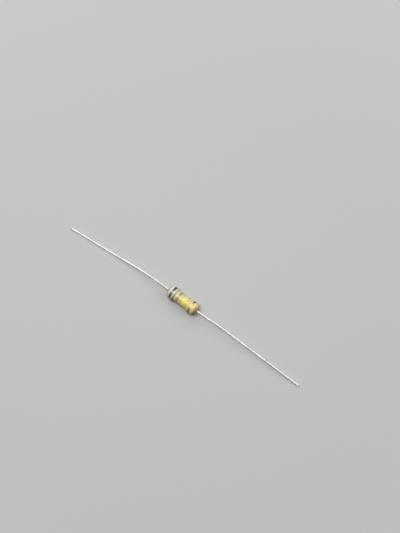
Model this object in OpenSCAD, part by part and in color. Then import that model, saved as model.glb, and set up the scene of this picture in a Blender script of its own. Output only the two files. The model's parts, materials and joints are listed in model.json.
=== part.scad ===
// Axial carbon film resistor, half-watt size, with four colour bands.
// A ceramic rod carries a spiral-cut carbon film. A pressed cap closes each end of the rod,
// a tinned lead is welded to each cap, and one coat of lacquer with painted bands covers the lot.
// The resistor lies on a table at z = 0, its body along X and its leads a little bent from handling.

/* [Ceramic core] */
// Diameter of the ceramic rod
core_d = 2.2; // [1.8:0.02:2.8]
// Length of the ceramic rod
core_length = 7.15; // [6.5:0.05:10]
// Chamfer on the rod's two rims
core_chamfer = 0.12; // [0.05:0.01:0.3]

/* [Carbon film] */
// Thickness of the carbon film
film_t = 0.03; // [0.02:0.005:0.06]
// Turns of the spiral groove that trims the film
groove_turns = 4; // [2:1:6]
// Width of the spiral groove
groove_w = 0.26; // [0.15:0.01:0.4]
// Uncut film between each end of the groove and the nearer cap
groove_margin = 0.3; // [0.2:0.05:0.6]

/* [End caps] */
// Sheet thickness of the pressed caps
cap_wall = 0.28; // [0.12:0.01:0.35]
// Overall length of a cap, over its closed end
cap_length = 1.8; // [1.2:0.05:2.4]
// Outside radius of a cap's pressed corner
cap_round = 0.35; // [0.25:0.05:0.5]

/* [Lacquer coating] */
// Thickness of the lacquer on the film and on the sides of the caps
coat_t = 0.21; // [0.16:0.01:0.4]
// Thickness of the lacquer on the closed end of a cap
coat_end_t = 0.45; // [0.4:0.05:0.8]
// Radius of the rounded shoulder at each end of the body
shoulder_r = 1.15; // [0.9:0.05:1.2]
// Distance from a cap's rim to where its bulge reaches full diameter
rim_cover = 0.15; // [0.1:0.05:0.4]
// Length of the slope between the waist and a bulge
flank_length = 0.4; // [0.3:0.05:0.9]
// Radius of the lacquer's hollow foot on a lead
foot_r = 0.18; // [0.1:0.01:0.25]

/* [Leads] */
// Diameter of the lead wire
lead_d = 0.54; // [0.4:0.01:0.65]
// Diameter of the weld where a lead joins its cap
weld_d = 0.9; // [0.75:0.05:1.1]
// Thickness of the weld's rim
weld_t = 0.08; // [0.04:0.01:0.15]
// Length of the weld's cone
weld_cone = 0.16; // [0.1:0.01:0.25]
// Angle of the sheared tip from square
shear_angle = 12; // [5:1:20]
// Distance from the body's end to a lead's first bend
exit_at = 0.5; // [0.5:0.05:1]
// Radius of the first bend
exit_bend_r = 4; // [2:0.5:6]
// Radius of the bends further out
lead_bend_r = 30; // [10:1:40]

/* [Lie of the left lead] */
// Length of the lead from the body's end to its cut tip
left_length = 30.3; // [24:0.1:38]
// Distance along the lead from the body's end to its sideways bend
left_bend_at = 7.4; // [4:0.1:10]
// Distance along the lead from the body's end to where it meets the table
left_touch_at = 16.6; // [14:0.1:20]
// Sideways angle of the outer stretch
left_swing = 6; // [2:0.5:10]
// Radius of its wide sideways bend
left_bend_r = 90; // [10:5:100]

/* [Lie of the right lead] */
// Length of the lead from the body's end to its cut tip
right_length = 29.9; // [24:0.1:38]
// Sideways angle of the inner stretch
right_kick = 3.7; // [1:0.1:6]
// Distance along the lead from the body's end to its sideways bend
right_bend_at = 7; // [4:0.1:10]
// Sideways angle of the outer stretch
right_swing = 1.2; // [0:0.1:4]

/* [Colour bands] */
// Thickness of the paint
band_t = 0.02; // [0.01:0.005:0.04]
// Width over which a band's edge thins out
band_feather = 0.05; // [0.03:0.01:0.1]
// Width of the first digit's band
first_band_w = 0.66; // [0.4:0.02:0.8]
// Middle of the first digit's band, from the body's left end
first_band_at = 1.24; // [1.1:0.02:1.5]
// Width of the second digit's band
second_band_w = 0.62; // [0.4:0.02:0.9]
// Middle of the second digit's band, from the body's left end
second_band_at = 3.2; // [2.9:0.05:3.8]
// Width of the multiplier's band
multiplier_band_w = 0.9; // [0.4:0.02:1.1]
// Middle of the multiplier's band, from the body's left end
multiplier_band_at = 4.9; // [4.5:0.05:5.4]
// Width of the tolerance band
tolerance_band_w = 0.62; // [0.4:0.02:0.8]
// Middle of the tolerance band, from the body's right end
tolerance_band_at = 1.64; // [1.5:0.02:1.8]

/* [Hidden] */
$fn = 64;

ceramic = [0.93, 0.92, 0.88];
carbon = [0.16, 0.15, 0.15];
tin_plate = [0.72, 0.72, 0.7];
tinned_wire = [0.85, 0.85, 0.83];
lacquer = [0.89, 0.8, 0.6];
blue_paint = [0.08, 0.16, 0.3];
grey_paint = [0.55, 0.52, 0.48];
yellow_paint = [0.95, 0.88, 0.35];
gold_paint = [0.72, 0.55, 0.25];

// Half sizes along the body's axis, measured from the middle of the body
core_half = core_length / 2;
cap_face = core_half + cap_wall;
cap_rim = cap_face - cap_length;
body_half = cap_face + coat_end_t;

// Radii about the body's axis
core_r = core_d / 2;
film_r = core_r + film_t;
cap_r = film_r + cap_wall;
waist_r = film_r + coat_t;
bulge_r = cap_r + coat_t;
wire_r = lead_d / 2;

// The painted bulges are the widest part of the body, and they rest on the table
painted_r = bulge_r + band_t;
axis_z = painted_r;

// A bend is drawn this much thinner in radius, and the straight stretches lap over its ends
bend_neck = 0.01;
bend_lap = 0.06;

function unit(v) = v / norm(v);
function plan(angle) = [cos(angle), sin(angle), 0];
function reversed(list) = [for (i = [len(list) - 1:-1:0]) list[i]];
function smooth_step(u) = u * u * (3 - 2 * u);

// ---- Outline of the lacquer, as [distance from the middle, radius] from the waist to a lead ----

crown_start = cap_rim + rim_cover;
waist_end = crown_start - flank_length;
shoulder_start = body_half - shoulder_r;
shoulder_centre_r = bulge_r - shoulder_r;
foot_centre_r = wire_r + foot_r;
foot_sweep = 60;
flank_steps = 12;
shoulder_steps = 20;
foot_steps = 8;

flank = [for (i = [0:flank_steps])
    [waist_end + flank_length * i / flank_steps,
        waist_r + (bulge_r - waist_r) * smooth_step(i / flank_steps)]];
// The shoulder turns in as far as the foot, or stops at a flat end face if that is wider
shoulder_sweep = acos(max(0, foot_centre_r - shoulder_centre_r) / shoulder_r);
flat_end = shoulder_centre_r > foot_centre_r;
shoulder = [for (i = [0:shoulder_steps])
    let (a = shoulder_sweep * i / shoulder_steps)
    [shoulder_start + shoulder_r * sin(a), shoulder_centre_r + shoulder_r * cos(a)]];
foot_start = shoulder_start + shoulder_r * sin(shoulder_sweep);
foot = [for (i = [flat_end ? 0 : 1:foot_steps])
    let (a = foot_sweep * i / foot_steps)
    [foot_start + foot_r * (1 - cos(a)), foot_centre_r - foot_r * sin(a)]];

function mirrored(list) = [for (p = reversed(list)) [-p.x, p.y]];
half_outline = concat(flank, shoulder, foot);
outline = concat(mirrored(half_outline), half_outline);

// ---- Outlines of what the lacquer covers, as [distance from the middle, radius] ----

cap_corner_steps = 8;
cap_outline = concat([[cap_rim, cap_r]], [for (i = [0:cap_corner_steps])
    let (a = 90 * i / cap_corner_steps)
    [cap_face - cap_round * (1 - sin(a)), cap_r - cap_round * (1 - cos(a))]]);
weld_outline = [
    [cap_face, weld_d / 2], [cap_face + weld_t, weld_d / 2], [cap_face + weld_t + weld_cone, wire_r]
];

// ---- Route of each lead, outwards along +X from the weld, as [point, bend radius] ----

first_corner = [body_half + exit_at, 0, axis_z];
fall = axis_z - wire_r;

// Left lead: slopes down from the body, turns aside on the way, then lies flat on the table
left_slope = asin(fall / (left_touch_at - exit_at));
left_fall_at_bend = (left_bend_at - exit_at) * sin(left_slope);
left_bend = first_corner
    + (left_bend_at - exit_at) * cos(left_slope) * plan(0) - [0, 0, left_fall_at_bend];
left_touch = left_bend + (left_touch_at - left_bend_at) * cos(left_slope) * plan(left_swing)
    - [0, 0, fall - left_fall_at_bend];
left_tip = left_touch + (left_length - left_touch_at) * plan(left_swing);
left_route = [
    [[cap_face, 0, axis_z], 0], [first_corner, exit_bend_r], [left_bend, left_bend_r],
    [left_touch, lead_bend_r], [left_tip, 0]
];

// Right lead: leaves level and a little aside, then slopes straight down to its tip
right_bend = first_corner + (right_bend_at - exit_at) * plan(right_kick);
right_slope = asin(fall / (right_length - right_bend_at));
right_tip = right_bend + (right_length - right_bend_at) * cos(right_slope) * plan(right_swing)
    - [0, 0, fall];
right_route = [
    [[cap_face, 0, axis_z], 0], [first_corner, exit_bend_r], [right_bend, lead_bend_r],
    [right_tip, 0]
];

// The origin is below the middle of the box around the body and both tips
x_middle = (right_tip.x - left_tip.x) / 2;
y_middle = (max(painted_r, right_tip.y + wire_r) - max(painted_r, left_tip.y + wire_r)) / 2;
body_place = [-x_middle, -y_middle, 0];

// ---- Shared shapes ----

// Turns a shape made along +Z to lie along +X on the body's axis
module lay_along_x() {
    translate(body_place + [0, 0, axis_z]) rotate([0, 90, 0]) children();
}

// The same, for the left half of the body
module lay_along_minus_x() {
    translate(body_place + [0, 0, axis_z]) rotate([0, -90, 0]) children();
}

// A turned solid from points given as [distance along the axis, radius]
module turned(points) {
    rotate_extrude() polygon([for (p = points) [p.y, p.x]]);
}

// Places a shape with its +Z along z_dir and its +X along x_dir, at from
module stand(from, x_dir, z_dir) {
    y_dir = cross(z_dir, x_dir);
    multmatrix([
        [x_dir.x, y_dir.x, z_dir.x, from.x],
        [x_dir.y, y_dir.y, z_dir.y, from.y],
        [x_dir.z, y_dir.z, z_dir.z, from.z],
        [0, 0, 0, 1]
    ]) children();
}

// The weld at a lead's inner end and the straight wire that runs out of it
module weld_and_stub(length) {
    turned(concat([[cap_face, 0]], weld_outline,
        [[cap_face + length, wire_r], [cap_face + length, 0]]));
}

// Direction of a route's stretch i, its turn at corner i, and how far that bend reaches
function heading(route, i) = unit(route[i + 1][0] - route[i][0]);
function corner_turn(route, i) = acos(heading(route, i - 1) * heading(route, i));
function reach(route, i) =
    i == 0 || i == len(route) - 1 ? 0 : route[i][1] * tan(corner_turn(route, i) / 2);

// The straight stretch i of a route; the last one ends in a sheared tip
module stretch(route, i) {
    last = i == len(route) - 2;
    dir = heading(route, i);
    side = unit(cross([0, 0, 1], dir));
    start_gap = reach(route, i) - bend_lap;
    end_gap = last ? 0 : reach(route, i + 1) - bend_lap;
    length = norm(route[i + 1][0] - route[i][0]) - start_gap - end_gap;
    stand(route[i][0] + start_gap * dir, side, dir)
        difference() {
            cylinder(h = length, r = wire_r);
            if (last)
                translate([0, -wire_r, length]) rotate([-shear_angle, 0, 0])
                    translate([-lead_d, -lead_d, 0]) cube([2 * lead_d, 3 * lead_d, lead_d]);
        }
}

// The bend at corner i of a route
module bend(route, i) {
    dir = heading(route, i - 1);
    hinge = unit(cross(dir, heading(route, i)));
    inward = cross(hinge, dir);
    start = route[i][0] - reach(route, i) * dir;
    stand(start + route[i][1] * inward, -inward, hinge)
        rotate_extrude(angle = corner_turn(route, i))
            translate([route[i][1], 0]) circle(r = wire_r - bend_neck);
}

// The wire of a lead beyond its stub
module wire(route) {
    corners = len(route) - 2;
    for (i = [1:corners]) stretch(route, i);
    for (i = [1:corners]) bend(route, i);
}

// Length of the stub, from the cap to the first bend
function stub_length(route) = route[1][0].x - cap_face - reach(route, 1) + bend_lap;

// A painted ring on the lacquer, of width w with its middle at x, thinner at its two edges
module paint_ring(x, w) {
    edge_t = band_t / 4;
    first = x - w / 2;
    last = x + w / 2;
    stations = concat([first, first + band_feather],
        [for (p = outline) if (p.x > first + band_feather && p.x < last - band_feather) p.x],
        [last - band_feather, last]);
    inner = concat([[first, lookup(first, outline)]],
        [for (p = outline) if (p.x > first && p.x < last) p], [[last, lookup(last, outline)]]);
    outer = [for (s = stations)
        [s, lookup(s, outline) + (s == first || s == last ? edge_t : band_t)]];
    lay_along_x() turned(concat(inner, reversed(outer)));
}

// ---- Sub-parts ----

module ceramic_core() {
    color(ceramic) lay_along_x() turned([
        [-core_half, 0], [-core_half, core_r - core_chamfer], [-core_half + core_chamfer, core_r],
        [core_half - core_chamfer, core_r], [core_half, core_r - core_chamfer], [core_half, 0]
    ]);
}

// The film is a thin tube of flat strips. Its groove climbs one pitch in each turn, so every
// column of points meets it once a turn, and column 0 also meets both closed ends of the groove.
film_sides = 48;
film_half = core_half - core_chamfer;
groove_half = cap_rim - groove_margin;
groove_pitch = 2 * groove_half / groove_turns;

function groove_at(column, turn) =
    -groove_half + groove_pitch * (turn + column / film_sides);
function column_xs(column) = concat([-film_half],
    [for (turn = [0:column == 0 ? groove_turns : groove_turns - 1], edge = [-1, 1])
        groove_at(column, turn) + edge * groove_w / 2],
    [film_half]);
function column_start(column) =
    column == 0 ? 0 : column * (2 * groove_turns + 2) + 2;
function column_points(column, r) =
    let (a = 360 * column / film_sides)
    [for (x = column_xs(column)) [r * cos(a), r * sin(a), x]];
// Points on the near and the far side of strip s, between its grooves: piece 0 is the lowest
function near_run(s, piece) =
    [for (k = s == 0 && piece == groove_turns ? [0:3] : [0:1])
        column_start(s) + 2 * piece + k];
function far_run(s, piece) = s < film_sides - 1
    ? [for (k = [0:1]) column_start(s + 1) + 2 * piece + k]
    : [for (k = piece == 0 ? [0:3] : [2:3]) 2 * piece + k];
// Outline of one piece of a strip, starting opposite its longer side, and the same turned over
function strip_face(s, piece) =
    let (near = near_run(s, piece), far = far_run(s, piece))
    len(near) > 2
        ? concat(far, reversed(near))
        : concat([near[0]], far, [near[1]]);
function turned_over(face) = [for (k = [0:len(face) - 1]) face[(len(face) - k) % len(face)]];

module carbon_film() {
    strips = [0:film_sides - 1];
    pieces = [0:groove_turns];
    outside = [for (c = strips) each column_points(c, film_r)];
    inside = [for (c = strips) each column_points(c, core_r / cos(180 / film_sides))];
    n = len(outside);
    skin = [for (s = strips, p = pieces) strip_face(s, p)];
    // Edges that a wall joins from the outside to the inside, each with the film on its left
    low_edges = [for (s = strips, p = pieces) [near_run(s, p)[0], far_run(s, p)[0]]];
    high_edges = [for (s = strips, p = pieces)
        let (near = near_run(s, p), far = far_run(s, p)) [far[len(far) - 1], near[len(near) - 1]]];
    groove_ends = [[2, 1], [2 * groove_turns + 1, 2 * groove_turns + 2]];
    edges = concat(low_edges, high_edges, groove_ends);
    walls = [for (e = edges) each [[e[0], e[1], e[1] + n], [e[0], e[1] + n, e[0] + n]]];
    color(carbon) lay_along_x() polyhedron(
        points = concat(outside, inside),
        faces = concat(
            [for (f = skin) turned_over(f)],
            [for (f = skin) [for (k = f) k + n]],
            walls)
    );
}

// A cup from its rim to its closed end, which covers the end of the rod
module end_cap() {
    color(tin_plate) turned(concat([[core_half, 0], [core_half, film_r], [cap_rim, film_r]],
        cap_outline, [[cap_face, 0]]));
}

module left_end_cap() {
    lay_along_minus_x() end_cap();
}

module right_end_cap() {
    lay_along_x() end_cap();
}

module lead(route) {
    color(tinned_wire) {
        translate([0, 0, axis_z]) rotate([0, 90, 0]) weld_and_stub(stub_length(route));
        wire(route);
    }
}

// The left lead is the mirror image of one that runs along +X
module left_lead() {
    translate(body_place) rotate([0, 0, 180]) lead(left_route);
}

module right_lead() {
    translate(body_place) lead(right_route);
}

// One shell between the outline and the film, caps and welds inside it
module lacquer_coating() {
    half_cavity = concat([[cap_rim, film_r]], cap_outline, weld_outline,
        [[outline[len(outline) - 1].x, wire_r]]);
    color(lacquer) lay_along_x()
        turned(concat(outline, reversed(concat(mirrored(half_cavity), half_cavity))));
}

module first_digit_band() {
    color(blue_paint) paint_ring(first_band_at - body_half, first_band_w);
}

module second_digit_band() {
    color(grey_paint) paint_ring(second_band_at - body_half, second_band_w);
}

module multiplier_band() {
    color(yellow_paint) paint_ring(multiplier_band_at - body_half, multiplier_band_w);
}

module tolerance_band() {
    color(gold_paint) paint_ring(body_half - tolerance_band_at, tolerance_band_w);
}

ceramic_core();
carbon_film();
left_end_cap();
right_end_cap();
left_lead();
right_lead();
lacquer_coating();
first_digit_band();
second_digit_band();
multiplier_band();
tolerance_band();
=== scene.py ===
"""Dresses an axial carbon film resistor: half-watt body, four painted bands and two tinned leads.

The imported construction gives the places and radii. Each sub-assembly is a class that models its
pieces over the nodes of the construction and gives every surface its finish. All sizes are metres,
except in the finishes, whose patterns are laid out in millimetres.
"""

import json
import logging
import math
from dataclasses import dataclass, field
from enum import Enum
from typing import Callable, Iterable, Sequence

import bpy
from mathutils import Matrix, Vector


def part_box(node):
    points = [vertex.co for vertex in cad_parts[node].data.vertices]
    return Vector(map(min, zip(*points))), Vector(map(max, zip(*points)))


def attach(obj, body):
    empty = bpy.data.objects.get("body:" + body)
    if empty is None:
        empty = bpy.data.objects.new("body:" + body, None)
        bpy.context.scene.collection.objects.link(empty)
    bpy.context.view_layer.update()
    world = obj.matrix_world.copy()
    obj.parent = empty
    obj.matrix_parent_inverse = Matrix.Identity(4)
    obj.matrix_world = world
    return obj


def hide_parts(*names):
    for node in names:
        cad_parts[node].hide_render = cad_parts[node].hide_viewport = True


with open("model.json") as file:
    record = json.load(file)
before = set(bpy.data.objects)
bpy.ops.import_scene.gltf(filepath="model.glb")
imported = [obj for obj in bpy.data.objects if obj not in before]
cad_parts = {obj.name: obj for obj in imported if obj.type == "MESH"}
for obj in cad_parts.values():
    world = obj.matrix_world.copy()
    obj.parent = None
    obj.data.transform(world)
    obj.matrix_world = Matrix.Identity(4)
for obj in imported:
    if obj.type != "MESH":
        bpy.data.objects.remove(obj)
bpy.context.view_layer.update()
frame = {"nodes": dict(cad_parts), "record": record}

log = logging.getLogger("resistor")

MM = 0.001
MERGE_GAP = 1e-7
TURN = 2 * math.pi
QUARTER = math.pi / 2
CAP_ROUND = 0.35 * MM
BODY = "root"

Colour = tuple[int, int, int]
Tint = tuple[float, float, float, float]
Profile = list[tuple[float, float]]
Corners = list[tuple[Vector, float]]
Material = bpy.types.Material
Piece = bpy.types.Object
Socket = bpy.types.NodeSocket
NodeTree = bpy.types.NodeTree


def linear(colour: Colour) -> Tint:
    """Turns an eight-bit display colour into the linear colour that a shader takes."""
    parts = (value / 255 for value in colour)
    return *(p / 12.92 if p <= 0.04045 else ((p + 0.055) / 1.055) ** 2.4 for p in parts), 1.0


def grey(level: float) -> Tint:
    """Returns a linear grey of that level."""
    return level, level, level, 1.0


def smooth_step(share: float) -> float:
    """Returns share eased at both ends, held between nought and one."""
    held = max(0.0, min(1.0, share))
    return held * held * (3 - 2 * held)


def arc(centre: tuple[float, float], radius: float, start: float, end: float, steps: int) -> Profile:
    """Draws an arc of a profile.

    Args:
        centre: Its centre, as (distance along X, distance from the axis).
        radius: The arc's own radius.
        start: Angle of its first point, from straight out towards +X.
        end: Angle of its last point.
        steps: Number of steps between them.

    Returns:
        The arc's points.
    """
    angles = [start + (end - start) * i / steps for i in range(steps + 1)]
    return [(centre[0] + radius * math.sin(a), centre[1] + radius * math.cos(a)) for a in angles]


def mirrored(profile: Profile) -> Profile:
    """Returns a profile mirrored about the middle, with its points still from left to right."""
    return [(-x, r) for x, r in reversed(profile)]


# ---- What the construction says ----


class Survey:
    """Places and radii of the body, read from the frame.

    Distances run along the body's axis from its middle. Radii run out from that axis.
    """

    def __init__(self) -> None:
        """Measures the nodes of the construction."""
        low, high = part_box("lacquer_coating")
        self.middle = (low + high) / 2
        self.foot_end = high.x - self.middle.x
        self.bulge_r = self.radius_of("lacquer_coating")
        self.paint = self.radius_of("first_digit_band") - self.bulge_r
        self.waist_r = self.radius_of("second_digit_band") - self.paint
        low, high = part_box("ceramic_core")
        self.core_half = (high.x - low.x) / 2
        self.core_r = self.radius_of("ceramic_core")
        self.film_r = self.radius_of("carbon_film")
        low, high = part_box("right_end_cap")
        self.cap_rim, self.cap_face = low.x - self.middle.x, high.x - self.middle.x
        self.cap_r = self.radius_of("right_end_cap")
        low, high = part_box("multiplier_band")
        self.yellow_at = (low.x + high.x) / 2 - self.middle.x
        self.yellow_half = (high.x - low.x) / 2
        tip = next(mount for mount in frame["record"]["mounts"] if mount["name"] == "right_lead_tip")
        self.wire_r = tip["dims"]["r_mm"] * MM

    @staticmethod
    def radius_of(node: str) -> float:
        """Returns the outside radius of a round node that lies along X."""
        low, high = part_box(node)
        return (high.z - low.z) / 2


@dataclass(frozen=True)
class Weld:
    """The bead that joins a lead to its cap: a low drum, and a cone down to the wire."""

    radius: float = 0.45 * MM
    drum: float = 0.08 * MM
    cone: float = 0.16 * MM


# ---- Modelling by hand ----


class Bench:
    """The modelling operators, each used on one piece at a time."""

    @staticmethod
    def clear() -> None:
        """Leaves edit mode and deselects every object."""
        if bpy.context.object and bpy.context.object.mode != "OBJECT":
            bpy.ops.object.mode_set(mode="OBJECT")
        bpy.ops.object.select_all(action="DESELECT")

    @staticmethod
    def take_up(piece: Piece) -> None:
        """Makes a piece the one selected, active object.

        Args:
            piece: The object to take up.
        """
        Bench.clear()
        piece.select_set(True)
        bpy.context.view_layer.objects.active = piece

    @staticmethod
    def edit(piece: Piece, mode: str = "VERT", action: str = "DESELECT") -> None:
        """Opens piece in edit mode.

        Args:
            piece: The object to open.
            mode: What is selected: VERT, EDGE or FACE.
            action: SELECT for all of it, or DESELECT for nothing.
        """
        Bench.take_up(piece)
        bpy.ops.object.mode_set(mode="EDIT")
        bpy.ops.mesh.select_mode(type=mode)
        bpy.ops.mesh.select_all(action=action)

    @staticmethod
    def pick(piece: Piece, mode: str, test: Callable) -> None:
        """Selects the vertices, edges or faces that pass a test, and opens piece in edit mode.

        Args:
            piece: The object to work on.
            mode: VERT, EDGE or FACE.
            test: Says of each vertex, edge or face whether it is wanted.
        """
        Bench.edit(piece, mode)
        bpy.ops.object.mode_set(mode="OBJECT")
        mesh = piece.data
        for part in {"VERT": mesh.vertices, "EDGE": mesh.edges, "FACE": mesh.polygons}[mode]:
            part.select = bool(test(part))
        bpy.ops.object.mode_set(mode="EDIT")

    @staticmethod
    def name(name: str) -> Piece:
        """Names the object just made, and returns it."""
        bpy.context.object.name = bpy.context.object.data.name = name
        return bpy.context.object

    @staticmethod
    def move(piece: Piece, by: Sequence[float] = (0, 0, 0)) -> Piece:
        """Moves a piece, puts its place and turn into its mesh, and returns it.

        Args:
            piece: The object to move.
            by: How far.

        Returns:
            The same piece.
        """
        Bench.take_up(piece)
        bpy.ops.transform.translate(value=by)
        bpy.ops.object.transform_apply(location=True, rotation=True, scale=True)
        return piece

    @staticmethod
    def turn(name: str, profile: Profile, sides: int) -> Piece:
        """Extrudes a vertex from point to point and spins that outline about the X axis.

        Args:
            name: Name of the new object.
            profile: Points as (distance along X, radius).
            sides: Number of sides around the axis.

        Returns:
            The turned piece, about the origin, with its faces outwards.
        """
        Bench.clear()
        start_x, start_r = profile[0]
        bpy.ops.mesh.primitive_plane_add(size=MM, location=(start_x, 0, start_r))
        piece = Bench.move(Bench.name(name))
        Bench.edit(piece, action="SELECT")
        bpy.ops.mesh.merge(type="CENTER")
        for here, there in zip(profile, profile[1:]):
            step = (there[0] - here[0], 0, there[1] - here[1])
            bpy.ops.mesh.extrude_region_move(TRANSFORM_OT_translate={"value": step})
        bpy.ops.mesh.select_all(action="SELECT")
        bpy.ops.mesh.spin(steps=sides, angle=TURN, center=(0, 0, 0), axis=(1, 0, 0))
        Bench.close(piece)
        return piece

    @staticmethod
    def close(piece: Piece) -> None:
        """Merges doubled vertices and turns every face outwards.

        Args:
            piece: The object to close.
        """
        Bench.edit(piece, action="SELECT")
        bpy.ops.mesh.remove_doubles(threshold=MERGE_GAP)
        bpy.ops.mesh.normals_make_consistent(inside=False)
        bpy.ops.object.mode_set(mode="OBJECT")

    @staticmethod
    def cut(piece: Piece, at: Sequence[float], lean: float) -> None:
        """Cuts away what lies beyond a plane and closes the cut.

        Args:
            piece: The object to cut.
            at: A point on the plane.
            lean: How far the plane's normal rises from +X, in degrees.
        """
        rise = math.radians(lean)
        Bench.edit(piece, action="SELECT")
        bpy.ops.mesh.bisect(
            plane_co=at, plane_no=(math.cos(rise), 0, math.sin(rise)), use_fill=True, clear_outer=True,
            threshold=MERGE_GAP,
        )
        bpy.ops.object.mode_set(mode="OBJECT")

    @staticmethod
    def weigh(piece: Piece, name: str, weight: Callable[[Vector], float]) -> None:
        """Gives each vertex a weight in a vertex group.

        Args:
            piece: The object to work on.
            name: Name of the vertex group.
            weight: Gives the weight at a vertex's place.
        """
        group = piece.vertex_groups.new(name=name)
        for vertex in piece.data.vertices:
            group.add([vertex.index], weight(vertex.co), "REPLACE")

    @staticmethod
    def modify(piece: Piece, kind: str, **settings: object) -> None:
        """Adds a modifier with its settings and applies it.

        Args:
            piece: The object to modify.
            kind: Type of the modifier.
            **settings: Properties of the modifier.
        """
        Bench.take_up(piece)
        modifier = piece.modifiers.new(kind.lower(), kind)
        for key, value in settings.items():
            setattr(modifier, key, value)
        bpy.ops.object.modifier_apply(modifier=modifier.name)

    @staticmethod
    def settle(piece: Piece, place: Sequence[float], crease: float) -> None:
        """Moves a piece to its place in the frame, and smooths edges up to that many degrees."""
        Bench.move(piece, place)
        bpy.ops.object.shade_smooth_by_angle(angle=math.radians(crease))


@dataclass(frozen=True)
class Ripple:
    """A soft cloud pattern that pushes a surface to and fro.

    Size is that of its lumps, depth is from the lowest to the highest point, and seat is the share
    of the depth that lies below the old surface.
    """

    size: float
    depth: float
    direction: str = "NORMAL"
    seat: float = 0.5

    def push(self, piece: Piece, group: str = "") -> None:
        """Pushes the vertices of a piece.

        Args:
            piece: The object to work on.
            group: Vertex group that limits the push, or none.
        """
        clouds = bpy.data.textures.new(f"{piece.name}_clouds", "CLOUDS")
        clouds.noise_scale = self.size
        clouds.noise_depth = 1
        Bench.modify(
            piece, "DISPLACE", texture=clouds, texture_coords="LOCAL", strength=self.depth,
            mid_level=self.seat, direction=self.direction, vertex_group=group,
        )


def fit(piece: Piece, node: str, finishes: Iterable[Material]) -> None:
    """Dresses a new piece and lets it stand for a node of the construction.

    Args:
        piece: The finished piece.
        node: The node that it replaces.
        finishes: One material for each of the piece's material slots.
    """
    piece.data.materials.clear()
    for finish in finishes:
        piece.data.materials.append(finish)
    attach(piece, BODY)
    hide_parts(node)
    log.info("%s: %d faces", piece.name, len(piece.data.polygons))


# ---- Node trees ----


class Wiring:
    """Places nodes in a tree and joins them."""

    def __init__(self, tree: NodeTree) -> None:
        """Starts on a tree, which is emptied."""
        self.tree = tree
        tree.nodes.clear()

    def add(self, kind: str, values: dict | None = None, **settings: object) -> bpy.types.Node:
        """Places a node.

        Args:
            kind: The node's type, without ShaderNode.
            values: For sockets, by name or number: a number, a colour or another node's output.
            **settings: Properties of the node.

        Returns:
            The node.
        """
        node = self.tree.nodes.new(f"ShaderNode{kind}")
        for key, value in settings.items():
            setattr(node, key, value)
        for key, value in (values or {}).items():
            if isinstance(value, Socket):
                self.tree.links.new(value, node.inputs[key])
            else:
                node.inputs[key].default_value = value
        return node

    def math(self, operation: str, *terms: object) -> Socket:
        """Places a Math node on the given terms and returns its output."""
        return self.add("Math", dict(enumerate(terms)), operation=operation).outputs[0]

    def clamp(self, value: Socket) -> Socket:
        """Holds a value between nought and one."""
        return self.add("Clamp", {"Value": value}).outputs[0]

    def stray(self, value: Socket | float, pattern: Socket, amount: float) -> Socket:
        """Pushes a value to and fro by a pattern that runs from nought to one."""
        return self.math("MULTIPLY_ADD", self.math("SUBTRACT", pattern, 0.5), amount, value)

    def spread(
        self, value: Socket, low: float, high: float, to_low: float, to_high: float, smooth: bool = False
    ) -> Socket:
        """Maps a value from one range to another.

        Args:
            value: The value.
            low: Start of its range.
            high: End of its range.
            to_low: What the start becomes.
            to_high: What the end becomes.
            smooth: Whether the two ends are eased.

        Returns:
            The mapped value.
        """
        kind = "SMOOTHSTEP" if smooth else "LINEAR"
        terms = {0: value, 1: low, 2: high, 3: to_low, 4: to_high}
        return self.add("MapRange", terms, interpolation_type=kind).outputs[0]

    def blend(self, share: Socket, first: object, second: object, kind: str = "MIX") -> Socket:
        """Mixes two colours.

        Args:
            share: How much of the second colour, or of the effect.
            first: The first colour: an output, a display colour or a linear one.
            second: The second colour.
            kind: Blend type.

        Returns:
            The mixed colour.
        """
        tints = [linear(c) if isinstance(c, tuple) and len(c) == 3 else c for c in (first, second)]
        terms = {0: share, 6: tints[0], 7: tints[1]}
        return self.add("Mix", terms, data_type="RGBA", blend_type=kind).outputs[2]

    def place(self, centre: Vector, scale: Sequence[float] = (1, 1, 1)) -> Socket:
        """Gives the object's own coordinates in millimetres from a centre.

        Args:
            centre: The point that becomes nought.
            scale: Stretch of the pattern along each axis.

        Returns:
            The mapped coordinates.
        """
        per_mm = [value / MM for value in scale]
        shift = [-c * s for c, s in zip(centre, per_mm)]
        own = self.add("TexCoord").outputs["Object"]
        return self.add("Mapping", {"Vector": own, "Location": shift, "Scale": per_mm}).outputs[0]

    def straight(self, per_metre: Sequence[float]) -> Socket:
        """Gives the places on a lead before it was bent, scaled along and across the wire."""
        unbent = self.add("Attribute", attribute_name="straight").outputs["Vector"]
        return self.add("Mapping", {"Vector": unbent, "Scale": per_metre}).outputs[0]

    def bump(self, height: Socket, depth: float) -> Socket:
        """Turns a height pattern from about nought to one, of that depth in metres, into a normal."""
        return self.add("Bump", {"Height": height, "Distance": depth, "Strength": 1.0}).outputs[0]

    def seen(self) -> Socket:
        """Tells what is looked at from what only lights the object.

        Returns:
            One for rays from the camera and off shiny or clear surfaces, nought for others.
        """
        path = self.add("LightPath").outputs
        shown = self.math("MAXIMUM", path["Is Camera Ray"], path["Is Glossy Ray"])
        return self.math("MAXIMUM", shown, path["Is Transmission Ray"])


class MaterialWiring(Wiring):
    """The tree of a new material."""

    def __init__(self, name: str) -> None:
        """Makes the material.

        Args:
            name: Name of the material.
        """
        self.material = bpy.data.materials.new(name)
        self.material.use_nodes = True
        super().__init__(self.material.node_tree)

    def finish(self, values: dict) -> Material:
        """Ends the tree in a Principled BSDF.

        Args:
            values: For the shader's sockets, by name.

        Returns:
            The material.
        """
        shader = self.add("BsdfPrincipled", values)
        self.add("OutputMaterial", {"Surface": shader.outputs[0]})
        return self.material


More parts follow.
